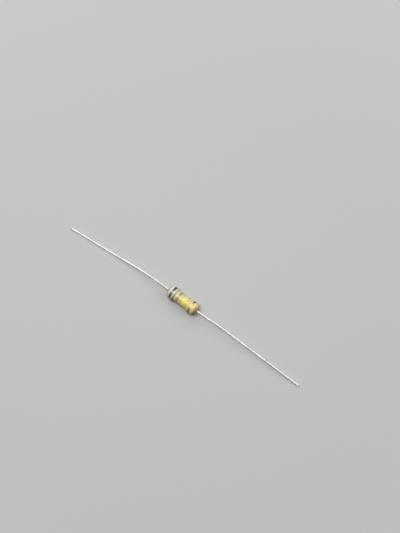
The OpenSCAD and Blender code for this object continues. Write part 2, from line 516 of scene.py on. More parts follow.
class GroupWiring(Wiring):
    """The inside of a node group, which takes a Vector and some numbers and puts out one value."""

    def __init__(self, name: str, inputs: dict[str, float], output: str) -> None:
        """Makes the group.

        Args:
            name: Name of the group.
            inputs: Its number inputs with their usual values.
            output: Name of its output.
        """
        super().__init__(bpy.data.node_groups.new(name, "ShaderNodeTree"))
        rows = self.tree.interface
        rows.new_socket("Vector", in_out="INPUT", socket_type="NodeSocketVector")
        for key, value in inputs.items():
            rows.new_socket(key, in_out="INPUT", socket_type="NodeSocketFloat").default_value = value
        rows.new_socket(output, in_out="OUTPUT", socket_type="NodeSocketFloat")
        self.given = self.tree.nodes.new("NodeGroupInput").outputs

    def pattern(self, kind: str, scale: Socket, **values: float) -> bpy.types.Node:
        """Places a texture node on the group's Vector, at that scale."""
        return self.add(kind, {"Vector": self.given["Vector"], "Scale": scale, **values})

    def contrast(self, value: Socket) -> Socket:
        """Drives a value away from a half by the group's Contrast, and clamps it."""
        centred = self.math("SUBTRACT", value, 0.5)
        return self.clamp(self.math("MULTIPLY_ADD", centred, self.given["Contrast"], 0.5))

    def finish(self, result: Socket) -> NodeTree:
        """Puts the result out and returns the group."""
        self.tree.links.new(result, self.tree.nodes.new("NodeGroupOutput").inputs[0])
        return self.tree


class Effect(Enum):
    """A surface effect that several finishes share, as a node group."""

    MOTTLE = "mottle"
    PEEL = "peel"
    SPECKS = "specks"
    STREAKS = "streaks"

    def put(self, wiring: Wiring, **values: object) -> Socket:
        """Places the effect in a tree. Its group is made on its first use.

        Args:
            wiring: The tree.
            **values: What its inputs are set or joined to.

        Returns:
            The effect's output.
        """
        group = bpy.data.node_groups.get(self.value) or EFFECT_MAKERS[self](self.value)
        return wiring.add("Group", values, node_tree=group).outputs[0]


def make_mottle(name: str) -> NodeTree:
    """Makes a group of soft blotches, from nought to one, with a finer pattern on top.

    Args:
        name: Name of the group.

    Returns:
        The node group.
    """
    wiring = GroupWiring(name, {"Scale": 1.0, "Contrast": 1.5}, "Value")
    broad = wiring.pattern("TexNoise", wiring.given["Scale"], Detail=2.0).outputs[0]
    finer = wiring.math("MULTIPLY", wiring.given["Scale"], 4.3)
    fine = wiring.pattern("TexNoise", finer, Detail=3.0).outputs[0]
    mixed = wiring.math("MULTIPLY_ADD", fine, 0.35, wiring.math("MULTIPLY", broad, 0.65))
    return wiring.finish(wiring.contrast(mixed))


def make_peel(name: str) -> NodeTree:
    """Makes a group with the height of a coat that has dried with a slightly dimpled skin.

    Args:
        name: Name of the group.

    Returns:
        The node group.
    """
    wiring = GroupWiring(name, {"Scale": 3.0, "Pits": 0.3}, "Height")
    skin = wiring.pattern("TexNoise", wiring.given["Scale"], Detail=1.0).outputs[0]
    cells = wiring.pattern("TexVoronoi", wiring.math("MULTIPLY", wiring.given["Scale"], 0.8))
    cells.feature = "SMOOTH_F1"
    dimple = wiring.spread(cells.outputs["Distance"], 0.0, 0.35, 0.0, 1.0, smooth=True)
    dimpled = wiring.math("MULTIPLY", wiring.math("SUBTRACT", dimple, 1.0), wiring.given["Pits"])
    return wiring.finish(wiring.math("ADD", skin, dimpled))


def make_specks(name: str) -> NodeTree:
    """Makes a group of small, scattered round specks, one in the middle of a speck.

    Args:
        name: Name of the group.

    Returns:
        The node group.
    """
    wiring = GroupWiring(name, {"Scale": 2.0, "Size": 0.12, "Share": 0.3}, "Mask")
    cells = wiring.pattern("TexVoronoi", wiring.given["Scale"]).outputs
    chance = wiring.add("SeparateColor", {"Color": cells["Color"]}).outputs[0]
    kept = wiring.math("LESS_THAN", chance, wiring.given["Share"])
    size = wiring.math("MULTIPLY", wiring.given["Size"], wiring.math("ADD", chance, 0.6))
    depth = wiring.math("SUBTRACT", 1.0, wiring.math("DIVIDE", cells["Distance"], size))
    return wiring.finish(wiring.math("MULTIPLY", wiring.clamp(depth), kept))


def make_streaks(name: str) -> NodeTree:
    """Makes a group of fine lines, out of coordinates that are already stretched along them.

    Args:
        name: Name of the group.

    Returns:
        The node group.
    """
    wiring = GroupWiring(name, {"Scale": 1.0, "Contrast": 1.6}, "Value")
    coarse = wiring.pattern("TexNoise", wiring.given["Scale"], Detail=4.0, Roughness=0.65)
    return wiring.finish(wiring.contrast(coarse.outputs[0]))


EFFECT_MAKERS: dict[Effect, Callable[[str], NodeTree]] = {
    Effect.MOTTLE: make_mottle,
    Effect.PEEL: make_peel,
    Effect.SPECKS: make_specks,
    Effect.STREAKS: make_streaks,
}


# ---- Finishes ----


@dataclass(frozen=True)
class Fade:
    """A stretch over which a tone comes or goes, in millimetres along the body."""

    start: float
    end: float
    before: float = 0.0
    after: float = 1.0
    smooth: bool = True

    def over(self, wiring: Wiring, along: Socket, origin: float = 0.0) -> Socket:
        """Gives the tone's share at each place.

        Args:
            wiring: The tree.
            along: Place along the body.
            origin: Where the stretch is measured from.

        Returns:
            The share, from before the stretch to after it.
        """
        start, end = origin + self.start, origin + self.end
        return wiring.spread(along, start, end, self.before, self.after, self.smooth)


@dataclass(frozen=True)
class LacquerFinish:
    """Semi-gloss cream lacquer, more golden over the right bulge and brown where it meets a lead.

    The left end was dipped once more. It is paler and glossier, and brighter still towards the dome,
    where light from the left is painted in. Its edge is a matte groove with a painted olive shade line,
    stronger on the front, shaded side. The brown where it meets the right lead is painted shade.
    Some yellow has bled out of its band, greener on the left than on the right.
    """

    body: Colour = (242, 220, 158)
    light: Colour = (247, 228, 174)
    light_by: Fade = Fade(-1.7, -0.5, 0.9, 0.0)
    golden: Colour = (254, 233, 158)
    golden_from_rim: Fade = Fade(-0.4, 0.6)
    # The left end's second coat: its own pale tone, brightened from the bulge to the dome as painted
    # light from the left.
    beige: Colour = (232, 233, 202)
    pale: Colour = (249, 255, 231)
    pale_and_lit_by: Fade = Fade(-2.4, -3.0)
    tip_by: Fade = Fade(-3.4, -4.2, 0.0, 0.7, smooth=False)
    # Painted shade: a dark olive line on the left flank, where the bulge falls to the waist.
    seam_shade: Colour = (98, 105, 38)
    seam_at: float = -2.14
    dip_edge: Fade = Fade(0.04, -0.04, smooth=False)
    seam_rise: Fade = Fade(-0.375, -0.05)
    seam_fall: Fade = Fade(0.0, 0.125, 1.0, 0.0)
    seam_shade_front: float = 0.65
    bleed: Colour = (230, 230, 112)
    ochre: Colour = (248, 220, 100)
    bleed_shift: float = 0.1
    bleed_by: Fade = Fade(-0.2, 1.2, 0.6, 0.0, smooth=False)
    # Painted shade: brown over the right end towards the lead, stronger on the front.
    foot: Colour = (100, 76, 30)
    foot_shade_by: Fade = Fade(-0.95, -0.2)
    foot_shade_front: float = 0.7
    shade: Colour = (116, 108, 66)
    shade_by: Fade = Fade(0.75, 0.15, 0.0, 0.6)
    stain: Colour = (146, 120, 66)
    stain_share: float = 0.14
    speck_share: float = 0.6
    speck_depth: float = 0.8
    roughness: tuple[float, float] = (0.26, 0.34)
    dip_gloss: Fade = Fade(0.04, -0.04, 0.0, 0.08, smooth=False)
    seam_matte: float = 0.25
    ior: float = 1.68
    front_by: Fade = Fade(0.5, -1.3, smooth=False)
    peel_depth: float = 0.012 * MM

    def build(self, survey: Survey) -> Material:
        """Makes the material.

        Args:
            survey: Places on the body.

        Returns:
            The material.
        """
        wiring = MaterialWiring("lacquer")
        place = wiring.place(survey.middle)
        blotch = Effect.MOTTLE.put(wiring, Vector=place, Scale=0.9, Contrast=1.8)
        specks = Effect.SPECKS.put(wiring, Vector=place, Scale=2.2, Size=0.1, Share=0.25)
        peel = Effect.PEEL.put(wiring, Vector=place, Scale=3.2, Pits=0.25)
        gloss = Effect.MOTTLE.put(wiring, Vector=place, Scale=1.7, Contrast=1.4)
        along, sideways, _ = wiring.add("SeparateXYZ", {0: place}).outputs
        front = self.front_by.over(wiring, sideways)
        wandering = wiring.stray(along, blotch, 0.5)
        past = wiring.math("ADD", wiring.stray(along, blotch, 0.12), -self.seam_at)
        dip = wiring.math(
            "MULTIPLY", self.seam_rise.over(wiring, past), self.seam_fall.over(wiring, past)
        )

        tone = self.dipped_tone(wiring, survey, along, wandering, past)
        # Painted shade in olive along the left flank's groove, stronger on the front side.
        facing = wiring.math("MULTIPLY_ADD", front, self.seam_shade_front, 1 - self.seam_shade_front)
        tone = wiring.blend(wiring.math("MULTIPLY", dip, facing), tone, self.seam_shade)
        tone = self.bled_tone(wiring, survey, wandering, tone)
        tone = wiring.blend(wiring.spread(blotch, 0.0, 1.0, self.stain_share, 0.0), tone, self.stain)
        reach = survey.foot_end / MM
        # Painted shade: brown at the right end, stronger on the front side.
        facing = wiring.math("MULTIPLY_ADD", front, self.foot_shade_front, 1 - self.foot_shade_front)
        right = wiring.math("MULTIPLY", self.foot_shade_by.over(wiring, along, reach), facing)
        tone = wiring.blend(right, tone, self.foot)
        tone = wiring.blend(self.shade_by.over(wiring, along, -reach), tone, self.shade)
        tone = wiring.blend(wiring.math("MULTIPLY", specks, self.speck_share), tone, self.stain)

        relief = wiring.math("SUBTRACT", peel, wiring.math("MULTIPLY", specks, self.speck_depth))
        glossy = wiring.spread(gloss, 0.0, 1.0, *self.roughness)
        glossy = wiring.math("SUBTRACT", glossy, self.dip_gloss.over(wiring, past))
        return wiring.finish({
            "Base Color": tone,
            "Roughness": wiring.math("MULTIPLY_ADD", dip, self.seam_matte, glossy),
            "IOR": self.ior,
            "Normal": wiring.bump(wiring.math("SUBTRACT", relief, dip), self.peel_depth),
        })

    def dipped_tone(
        self, wiring: Wiring, survey: Survey, along: Socket, wandering: Socket, past: Socket
    ) -> Socket:
        """Gives the lacquer's own tone, with the left end's second coat over it, lightened towards the
        dome as painted light.

        Args:
            wiring: The tree.
            survey: Places on the body.
            along: Place along the body.
            wandering: The same, strayed by blotches.
            past: Place from the edge of the second coat.

        Returns:
            The tone.
        """
        tone = wiring.blend(self.light_by.over(wiring, wandering), self.body, self.light)
        warm = self.golden_from_rim.over(wiring, wandering, survey.cap_rim / MM)
        tone = wiring.blend(warm, tone, self.golden)
        # Painted light: the end's tone lightens towards the dome, as if lit from the left.
        end = wiring.blend(self.pale_and_lit_by.over(wiring, wandering), self.beige, self.pale)
        end = wiring.blend(self.tip_by.over(wiring, along), end, self.light)
        return wiring.blend(self.dip_edge.over(wiring, past), tone, end)

    def bled_tone(self, wiring: Wiring, survey: Survey, wandering: Socket, tone: Socket) -> Socket:
        """Lets the yellow band's paint bleed into the lacquer on both its sides.

        Args:
            wiring: The tree.
            survey: Places on the body.
            wandering: Place along the body, strayed by blotches.
            tone: The tone so far.

        Returns:
            The tone with the bleed.
        """
        beyond = wiring.math("SUBTRACT", wandering, survey.yellow_at / MM + self.bleed_shift)
        share = self.bleed_by.over(wiring, wiring.math("ABSOLUTE", beyond), survey.yellow_half / MM)
        stained = wiring.blend(wiring.spread(beyond, -1.0, 1.0, 0.0, 1.0), self.bleed, self.ochre)
        return wiring.blend(share, tone, stained)


class PaintKind(Enum):
    """How a band's paint takes the light."""

    SOLID = "solid"
    METALLIC = "metallic"


@dataclass(frozen=True)
class PaintFinish:
    """Band paint, laid on by a wheel that leaves faint lines around the body.

    It thins out from faded, a share of the way to the band's edge. Along its top the thin tone is also
    painted in as a highlight, up to a share set for each band. Where it is thin or so lit, the tone
    called thin shows.
    """

    name: str
    colour: Colour
    thin: Colour
    coverage: float = 0.95
    roughness: float = 0.3
    ior: float = 1.7
    faded: float = 0.78
    painted_top_highlight: float = 0.0
    highlight_side: tuple[float, float, float] = (0.0, -0.26, 0.966)
    highlight_from: float = 0.74
    kind: PaintKind = PaintKind.SOLID
    ragged: float = 0.3
    edge_end: float = 1.08
    edge_share: float = 0.75
    flake_size: float = 0.05
    flake_share: float = 0.45
    flake_height: float = 0.35
    metallic: tuple[float, float] = (0.5, 0.15)
    relief: float = 0.005 * MM

    def build(self, survey: Survey) -> Material:
        """Makes the material.

        Args:
            survey: Places on the body.

        Returns:
            The material.
        """
        wiring = MaterialWiring(self.name)
        place = wiring.place(survey.middle)
        blotch = Effect.MOTTLE.put(wiring, Vector=place, Scale=1.6, Contrast=1.9)
        thin = self.thinness_and_highlight(wiring, survey, blotch)
        tone = wiring.blend(thin, self.colour, self.thin)
        height = Effect.PEEL.put(wiring, Vector=place, Scale=4.0, Pits=0.2)
        values: dict = {
            "Roughness": wiring.spread(blotch, 0.0, 1.0, self.roughness - 0.04, self.roughness + 0.06),
            "IOR": self.ior,
        }
        if self.kind is PaintKind.METALLIC:
            flakes = wiring.add("TexVoronoi", {"Vector": place, "Scale": 1 / self.flake_size})
            glint = wiring.add("SeparateColor", {"Color": flakes.outputs["Color"]}).outputs[0]
            shaded = wiring.spread(glint, 0.0, 1.0, self.flake_share, 0.0)
            tone = wiring.blend(shaded, tone, self.thin, "MULTIPLY")
            height = wiring.math("MULTIPLY_ADD", glint, self.flake_height, height)
            values["Metallic"] = wiring.spread(thin, 0.0, 1.0, *self.metallic)
        values["Base Color"] = tone
        values["Normal"] = wiring.bump(height, self.relief)
        return wiring.finish(values)

    def thinness_and_highlight(self, wiring: Wiring, survey: Survey, blotch: Socket) -> Socket:
        """Tells how thin the paint is towards its edges and between the lines, with the painted
        highlight on top.

        Args:
            wiring: The tree.
            survey: Places on the body.
            blotch: Pattern that makes the edges and the painted highlight ragged.

        Returns:
            Nought for full paint, one for bare lacquer or the full painted highlight.
        """
        rings = wiring.place(survey.middle, (9.0, 0.5, 0.5))
        lines = Effect.STREAKS.put(wiring, Vector=rings, Scale=1.0, Contrast=1.7)
        bare = wiring.stray(1.0 - self.coverage, lines, 0.5)
        across = wiring.add("Attribute", attribute_name="across").outputs["Fac"]
        across = wiring.stray(across, blotch, self.ragged)
        edge = wiring.spread(across, self.faded, self.edge_end, 0.0, self.edge_share, smooth=True)
        around = wiring.place(survey.middle, (0, 1, 1))
        outwards = wiring.add("VectorMath", {0: around}, operation="NORMALIZE").outputs[0]
        # Painted highlight: the paint is lightened along the band's top, where the lamp's highlight
        # falls.
        facing = wiring.add("VectorMath", {0: outwards, 1: self.highlight_side}, operation="DOT_PRODUCT")
        aloft = wiring.stray(facing.outputs["Value"], blotch, 0.12)
        painted_top_highlight = wiring.spread(aloft, self.highlight_from, 1.0, 0.0, self.painted_top_highlight, smooth=True)
        return wiring.clamp(wiring.math("MAXIMUM", edge, wiring.math("MAXIMUM", bare, painted_top_highlight)))


@dataclass(frozen=True)
class WireFinish:
    """Tinned wire, with fine lines from the die along it and a little dulling from handling."""

    bright: Colour = (215, 214, 209)
    dull: Colour = (190, 188, 182)
    dull_share: float = 0.7
    nick_share: float = 0.5
    nick_depth: float = 0.8
    roughness: tuple[float, float] = (0.48, 0.56)
    line_depth: float = 0.0012 * MM

    def build(self) -> Material:
        """Makes the material.

        Returns:
            The material.
        """
        wiring = MaterialWiring("tinned_wire")
        drawn = wiring.straight((180, 11000, 11000))
        lines = Effect.STREAKS.put(wiring, Vector=drawn, Scale=1.0, Contrast=1.6)
        spots = wiring.straight((1 / MM, 1 / MM, 1 / MM))
        blotch = Effect.MOTTLE.put(wiring, Vector=spots, Scale=0.55, Contrast=2.2)
        nicks = Effect.SPECKS.put(wiring, Vector=spots, Scale=1.6, Size=0.14, Share=0.3)
        dull = wiring.spread(blotch, 0.35, 0.9, 0.0, self.dull_share)
        tone = wiring.blend(dull, self.bright, self.dull)
        rough = wiring.spread(lines, 0.0, 1.0, *self.roughness)
        height = wiring.math("SUBTRACT", lines, wiring.math("MULTIPLY", nicks, self.nick_depth))
        return wiring.finish({
            "Base Color": wiring.blend(wiring.math("MULTIPLY", nicks, self.nick_share), tone, self.dull),
            "Metallic": 1.0,
            "Roughness": wiring.math("ADD", rough, wiring.math("MULTIPLY", dull, 0.1)),
            "Normal": wiring.bump(height, self.line_depth),
        })


@dataclass(frozen=True)
class CutFinish:
    """The sheared end of copper-clad steel wire: a grey core inside a thin copper ring."""

    steel: Colour = (150, 148, 146)
    copper: Colour = (190, 118, 80)
    core_share: float = 0.8
    ring_blur: float = 0.06
    roughness: tuple[float, float] = (0.3, 0.5)
    relief: float = 0.01 * MM

    def build(self, wire_r: float) -> Material:
        """Makes the material.

        Args:
            wire_r: Radius of the wire.

        Returns:
            The material.
        """
        wiring = MaterialWiring("sheared_wire")
        straight = wiring.add("Attribute", attribute_name="straight").outputs["Vector"]
        flat = wiring.add("VectorMath", {0: straight, 1: (0, 1, 1)}, operation="MULTIPLY").outputs[0]
        radius = wiring.add("VectorMath", {0: flat}, operation="LENGTH").outputs["Value"]
        core_r, blurred_r = wire_r * self.core_share, wire_r * (self.core_share - self.ring_blur)
        ring = wiring.spread(radius, blurred_r, core_r, 0.0, 1.0)
        sheared = wiring.straight((4000, 26000, 3000))
        lines = Effect.STREAKS.put(wiring, Vector=sheared, Scale=1.0, Contrast=2.0)
        return wiring.finish({
            "Base Color": wiring.blend(ring, self.steel, self.copper),
            "Metallic": 1.0,
            "Roughness": wiring.spread(lines, 0.0, 1.0, *self.roughness),
            "Normal": wiring.bump(lines, self.relief),
        })


@dataclass(frozen=True)
class LinedFinish:
    """A finish inside the coat: two tones in soft blotches, under lines left by the making."""

    name: str
    first: Colour
    second: Colour
    stretch: tuple[float, float, float]
    contrast: float
    blotches: float
    roughness: tuple[float, float]
    relief: float
    metallic: float = 0.0

    def build(self, survey: Survey) -> Material:
        """Makes the material.

        Args:
            survey: Places on the body.

        Returns:
            The material.
        """
        wiring = MaterialWiring(self.name)
        drawn = wiring.place(survey.middle, self.stretch)
        lines = Effect.STREAKS.put(wiring, Vector=drawn, Scale=1.0, Contrast=self.contrast)
        place = wiring.place(survey.middle)
        blotch = Effect.MOTTLE.put(wiring, Vector=place, Scale=self.blotches, Contrast=1.8)
        return wiring.finish({
            "Base Color": wiring.blend(blotch, self.first, self.second),
            "Metallic": self.metallic,
            "Roughness": wiring.spread(lines, 0.0, 1.0, *self.roughness),
            "Normal": wiring.bump(lines, self.relief),
        })


TIN_PLATE = LinedFinish(
    "tin_plate", (205, 204, 199), (160, 158, 152), stretch=(0.8, 9.0, 9.0), contrast=1.5, blotches=1.1,
    roughness=(0.26, 0.44), relief=0.006 * MM, metallic=1.0,
)
CARBON = LinedFinish(
    "carbon", (44, 42, 42), (78, 75, 74), stretch=(12.0, 0.6, 0.6), contrast=1.6, blotches=1.8,
    roughness=(0.34, 0.52), relief=0.004 * MM,
)


@dataclass(frozen=True)
class CeramicFinish:
    """Unglazed white ceramic with a fine grain."""

    white: Colour = (238, 234, 224)
    grain: Colour = (206, 199, 184)
    roughness: tuple[float, float] = (0.62, 0.8)
    relief: float = 0.01 * MM

    def build(self, survey: Survey) -> Material:
        """Makes the material.

        Args:
            survey: Places on the body.

        Returns:
            The material.
        """
        wiring = MaterialWiring("ceramic")
        place = wiring.place(survey.middle)
        blotch = Effect.MOTTLE.put(wiring, Vector=place, Scale=2.4, Contrast=2.0)
        specks = Effect.SPECKS.put(wiring, Vector=place, Scale=5.0, Size=0.2, Share=0.4)
        tone = wiring.blend(wiring.math("MULTIPLY", blotch, 0.35), self.white, self.grain)
        return wiring.finish({
            "Base Color": wiring.blend(wiring.math("MULTIPLY", specks, 0.5), tone, self.grain),
            "Roughness": wiring.spread(blotch, 0.0, 1.0, *self.roughness),
            "Normal": wiring.bump(wiring.math("SUBTRACT", blotch, specks), self.relief),
        })


# ---- The body ----


@dataclass
class LacquerCoat:
    """The coat of lacquer: a waisted shell whose feet creep out along both leads."""

    survey: Survey
    weld: Weld = Weld()
    sides: int = 160
    station: float = 0.05 * MM
    end_cover: float = 0.45 * MM
    shoulder_r: float = 1.15 * MM
    rim_cover: float = 0.15 * MM
    flanks: tuple[float, float] = (0.3 * MM, 0.42 * MM)
    corner_steps: int = 6
    foot_r: float = 0.18 * MM
    foot_sweep: float = 60.0
    foot_steps: int = 8
    lip: float = 0.16 * MM
    lip_t: float = 0.004 * MM
    lip_steps: int = 5
    swells: tuple[Ripple, ...] = (Ripple(3.2 * MM, 0.05 * MM), Ripple(0.9 * MM, 0.016 * MM))
    left_creep: Ripple = Ripple(0.35 * MM, -0.3 * MM, "X", 0.35)
    right_creep: Ripple = Ripple(0.4 * MM, 0.22 * MM, "X", 0.4)
    crease: float = 40.0
    piece: Piece | None = field(default=None, init=False)

    @property
    def body_half(self) -> float:
        """Distance from the middle to the round end of the body."""
        return self.survey.cap_face + self.end_cover

    @property
    def shoulder_start(self) -> float:
        """Distance from the middle to where the shoulder begins."""
        return self.body_half - self.shoulder_r

    @property
    def flank_end(self) -> float:
        """Distance from the middle to where the bulge reaches its full radius."""
        return self.survey.cap_rim + self.rim_cover

    def radius(self, distance: float) -> float:
        """Gives the coat's radius between the shoulders.

        Args:
            distance: Place along the axis, from the middle.

        Returns:
            The outside radius there.
        """
        survey, away = self.survey, abs(distance)
        flank = self.flanks[distance > 0]
        rise = smooth_step((away - self.flank_end + flank) / flank)
        level = survey.waist_r + (survey.bulge_r - survey.waist_r) * rise
        past = max(0.0, away - self.shoulder_start)
        fall = self.shoulder_r - math.sqrt(max(0.0, self.shoulder_r ** 2 - past ** 2))
        return level - fall

    def end_profile(self) -> Profile:
        """Draws the shoulder, the hollow foot and the thin lip on the lead.

        Returns:
            Points from the start of the shoulder to the tip of the lip.
        """
        survey = self.survey
        centre_r = survey.bulge_r - self.shoulder_r
        foot_centre = survey.wire_r + self.foot_r
        sweep = math.acos((foot_centre - centre_r) / self.shoulder_r)
        steps = math.ceil(sweep * self.shoulder_r / self.station)
        shoulder = arc((self.shoulder_start, centre_r), self.shoulder_r, 0.0, sweep, steps)
        hollow = (shoulder[-1][0] + self.foot_r, foot_centre)
        foot_turn = -QUARTER - math.radians(self.foot_sweep)
        foot = arc(hollow, self.foot_r, -QUARTER, foot_turn, self.foot_steps)[1:]
        last_x, last_r = foot[-1]
        thin = survey.wire_r + self.lip_t
        shares = [i / self.lip_steps for i in range(1, self.lip_steps + 1)]
        lip = [
            (last_x + self.lip * share, thin + (last_r - thin) * (1 - share) ** 2)
            for share in shares
        ]
        return shoulder + foot + lip

    def cavity_profile(self) -> Profile:
        """Draws the inside against the film, the cap, the weld and the lead.

        Returns:
            Points from the cap's rim outwards.
        """
        survey, weld = self.survey, self.weld
        rim = [(survey.cap_rim, survey.film_r), (survey.cap_rim, survey.cap_r)]
        bead = [
            (survey.cap_face, weld.radius),
            (survey.cap_face + weld.drum, weld.radius),
            (survey.cap_face + weld.drum + weld.cone, survey.wire_r),
        ]
        return rim + cap_corner(survey, self.corner_steps) + bead

    def build(self) -> Piece:
        """Turns the coat and gives it the unevenness of a dipped part.

        Returns:
            The coat, in its place.
        """
        end, start = self.end_profile(), self.shoulder_start
        count = math.ceil(2 * start / self.station)
        places = [-start + 2 * start * i / count for i in range(1, count)]
        outside = mirrored(end) + [(x, self.radius(x)) for x in places] + end
        cavity = self.cavity_profile() + [(end[-1][0], self.survey.wire_r)]
        inside = mirrored(cavity) + cavity
        self.piece = Bench.turn("lacquer", outside + inside[::-1] + outside[:1], self.sides)
        Bench.weigh(self.piece, "skin", self.skin_weight)
        for swell in self.swells:
            swell.push(self.piece, "skin")
        Bench.weigh(self.piece, "left_lip", lambda co: self.lip_weight(-co.x))
        Bench.weigh(self.piece, "right_lip", lambda co: self.lip_weight(co.x))
        self.left_creep.push(self.piece, "left_lip")
        self.right_creep.push(self.piece, "right_lip")
        Bench.settle(self.piece, self.survey.middle, self.crease)
        return self.piece

    def skin_weight(self, place: Vector) -> float:
        """Weighs the outside of the body, easing off towards the leads.

        Args:
            place: A vertex's place, from the body's middle.

        Returns:
            Nought on the inside, up to one on the outside.
        """
        away, radius = abs(place.x), math.hypot(place.y, place.z)
        if away < self.shoulder_start:
            return float(radius > self.radius(place.x) - self.station)
        centre_r = self.survey.bulge_r - self.shoulder_r
        if math.hypot(away - self.shoulder_start, radius - centre_r) < self.shoulder_r - self.station:
            return 0.0
        return smooth_step((radius - self.survey.wire_r) / (self.survey.waist_r - self.survey.wire_r))

    def lip_weight(self, distance: float) -> float:
        """Weighs the foot, from nought at the end of the body to one at the tip of the lip."""
        reach = self.survey.foot_end + self.lip - self.body_half
        return smooth_step((distance - self.body_half) / reach)


def cap_corner(survey: Survey, steps: int) -> Profile:
    """Draws the rounded edge of a cap's closed end, in that many steps."""
    centre = (survey.cap_face - CAP_ROUND, survey.cap_r - CAP_ROUND)
    return arc(centre, CAP_ROUND, 0.0, QUARTER, steps)


@dataclass
class ColourBand:
    """One painted band, wrapped on the coat, with edges that wander and a raised rim of paint.

    Shift picks its part of the wandering pattern. Lean is how far its front and its back stand
    towards the right.
    """

    node: str
    slot: str
    finish: PaintFinish
    wander: float
    shift: float
    lean: tuple[float, float] = (0.0, 0.0)
    sides: int = 160
    station: float = 0.04 * MM
    wave: float = 1.3 * MM
    fray: float = 0.3 * MM
    fray_share: float = 0.3
    feather: float = 0.06 * MM
    edge_share: float = 0.2
    middle_sag: float = 0.25
    lift: float = 0.02 * MM
    sink: float = 0.002 * MM
    crease: float = 60.0

    def build(self, survey: Survey, coat: LacquerCoat) -> Piece:
        """Wraps the band around the coat and gives the paint its thickness.

        Args:
            survey: Places on the body.
            coat: The finished coat.

        Returns:
            The band, in its place.
        """
        low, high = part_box(self.node)
        first, last = low.x - survey.middle.x, high.x - survey.middle.x
        half, centre = (last - first) / 2, (first + last) / 2
        count = math.ceil((last - first) / self.station)
        stations = [first + (last - first) * i / count for i in range(count + 1)]
        band = Bench.turn(
            self.finish.name, [(x, coat.radius(x) + self.lift) for x in stations], self.sides
        )
        self.face_outwards(band)
        across = band.data.attributes.new("across", "FLOAT", "POINT")
        across.data.foreach_set("value", [abs(v.co.x - centre) / half for v in band.data.vertices])
        Bench.weigh(band, "full", lambda co: self.fullness(half - abs(co.x - centre), half))
        Bench.move(band, (0, self.shift, 0))
        Ripple(self.wave, self.wander, "X").push(band)
        Ripple(self.fray, self.fray_share * self.wander, "X").push(band)
        Bench.move(band, (0, -self.shift, 0))
        for side, sign, lean in zip(("front", "back"), (-1, 1), self.lean):
            if lean:
                Bench.weigh(band, side, lambda co, sign=sign: max(0.0, sign * co.y) / survey.bulge_r)
                Bench.modify(
                    band, "DISPLACE", direction="X", strength=lean, mid_level=0.0, vertex_group=side
                )
        Bench.settle(band, survey.middle, self.crease)
        Bench.modify(
            band, "SHRINKWRAP", target=coat.piece, wrap_method="NEAREST_SURFACEPOINT",
            wrap_mode="ON_SURFACE", offset=-self.sink,
        )
        Bench.modify(
            band, "SOLIDIFY", thickness=survey.paint + self.sink, offset=1.0, vertex_group="full",
            thickness_vertex_group=self.edge_share, use_even_offset=False,
        )
        Bench.settle(band, (0, 0, 0), self.crease)
        fit(band, self.node, [self.finish.build(survey)])
        return band

    def fullness(self, inside: float, half: float) -> float:
        """Gives the paint's share of its full thickness.

        Args:
            inside: Distance from the nearer edge.
            half: Half the band's width.

        Returns:
            Nought at the edge, one on the ridge just inside it, and a little less in the middle.
        """
        sag = self.middle_sag * smooth_step((inside - self.feather) / (half - self.feather))
        return smooth_step(inside / self.feather) - sag

    @staticmethod
    def face_outwards(band: Piece) -> None:
        """Flips an open ring whose faces point at the axis.

        Args:
            band: The ring.
        """
        face = band.data.polygons[0]
        if face.normal.yz.dot(face.center.yz) < 0:
            Bench.edit(band, "FACE", "SELECT")
            bpy.ops.mesh.flip_normals()
            bpy.ops.object.mode_set(mode="OBJECT")


@dataclass
class Insides:
    """What the lacquer hides: the rod, its carbon film and the two pressed caps."""

    survey: Survey
    sides: int = 96
    rod_chamfer: float = 0.12 * MM
    rod_steps: int = 4
    rod_crease: float = 50.0
    rim_round: float = 0.05 * MM
    rim_steps: int = 4
    corner_steps: int = 10
    cap_crease: float = 40.0

    def build(self) -> None:
        """Models the rod and the caps, and gives the film its finish."""
        self.build_rod()
        plate = TIN_PLATE.build(self.survey)
        self.build_cap("left_end_cap", "left_cap_cup", True, plate)
        self.build_cap("right_end_cap", "right_cap_cup", False, plate)
        film = frame["nodes"]["carbon_film"]
        film.data.materials.clear()
        film.data.materials.append(CARBON.build(self.survey))
        log.info("carbon_film: %d faces", len(film.data.polygons))

    def build_rod(self) -> None:
        """Models the rod from a cylinder with rounded rims."""
        survey = self.survey
        Bench.clear()
        bpy.ops.mesh.primitive_cylinder_add(
            vertices=self.sides, radius=survey.core_r, depth=2 * survey.core_half,
            rotation=(0, QUARTER, 0),
        )
        rod = Bench.move(Bench.name("ceramic_rod"))
        Bench.pick(rod, "FACE", lambda face: abs(face.normal.x) > 0.5)
        bpy.ops.mesh.bevel(offset=self.rod_chamfer, segments=self.rod_steps, profile=0.5, affect="EDGES")
        Bench.close(rod)
        Bench.settle(rod, survey.middle, self.rod_crease)
        fit(rod, "ceramic_core", [CeramicFinish().build(survey)])

    def build_cap(self, node: str, name: str, leftwards: bool, plate: Material) -> None:
        """Turns one cap, a cup over the end of the rod.

        Args:
            node: The node that it stands for.
            name: Name of the cup.
            leftwards: Whether its closed end faces left.
            plate: Its finish.
        """
        survey = self.survey
        rim_centre = (survey.cap_rim + self.rim_round, survey.cap_r - self.rim_round)
        profile = [(survey.core_half, 0.0)]
        profile += [(survey.core_half, survey.film_r), (survey.cap_rim, survey.film_r)]
        profile += arc(rim_centre, self.rim_round, -QUARTER, 0.0, self.rim_steps)
        profile += cap_corner(survey, self.corner_steps) + [(survey.cap_face, 0.0)]
        cap = Bench.turn(name, mirrored(profile) if leftwards else profile, self.sides)
        Bench.settle(cap, survey.middle, self.cap_crease)
        fit(cap, node, [plate])


# ---- The leads ----


class Side(Enum):
    """Which end of the body a lead leaves."""

    LEFT = "left"
    RIGHT = "right"

    @property
    def outwards(self) -> int:
        """The sign of X on this side."""
        return -1 if self is Side.LEFT else 1


